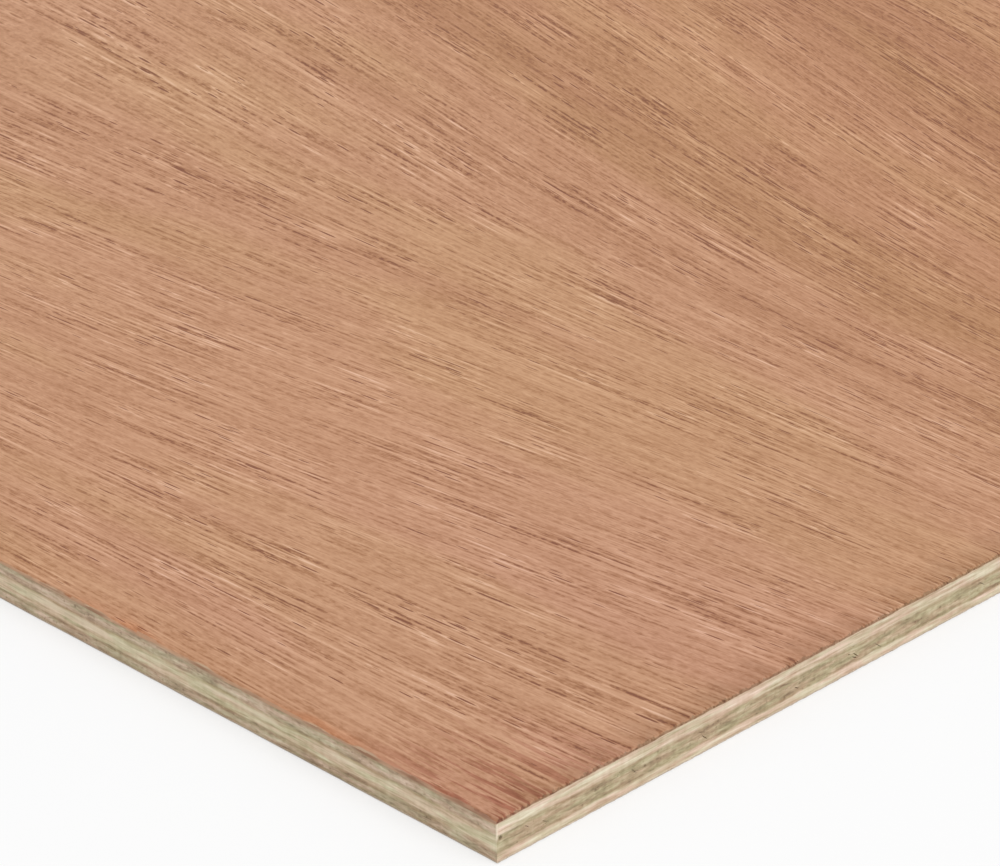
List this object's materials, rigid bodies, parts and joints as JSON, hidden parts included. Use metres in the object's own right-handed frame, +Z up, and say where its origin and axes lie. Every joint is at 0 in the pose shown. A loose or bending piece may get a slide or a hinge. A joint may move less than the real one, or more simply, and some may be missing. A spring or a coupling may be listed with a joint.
{
  "type": "plywood sheet",
  "caption": "Thin flat rectangular sheet of hardwood-faced plywood, with its cross-laid plies showing along the sawn edges, for panelling, furniture and boxes.",
  "frame": {"origin": "middle of the back of the sheet, on the floor that it lies on", "axes": "+X along the sheet's length and the grain of its face, +Y across the sheet, +Z up through the face"},
  "size_m": [1.22, 0.61, 0.0055],
  "materials": {
    "face_wood": "sanded, unfinished pinkish brown hardwood with open pores",
    "crossband_wood": "sawn, pale straw-coloured wood, its grain across the sheet",
    "core_wood": "sawn, dull straw-coloured wood, its grain along the sheet",
    "back_wood": "sanded, unfinished plainer hardwood"
  },
  "bodies": {
    "root": {"face_veneer": "face_wood", "upper_crossband": "crossband_wood", "core_ply": "core_wood", "lower_crossband": "crossband_wood", "back_veneer": "back_wood"}
  },
  "joints": []
}
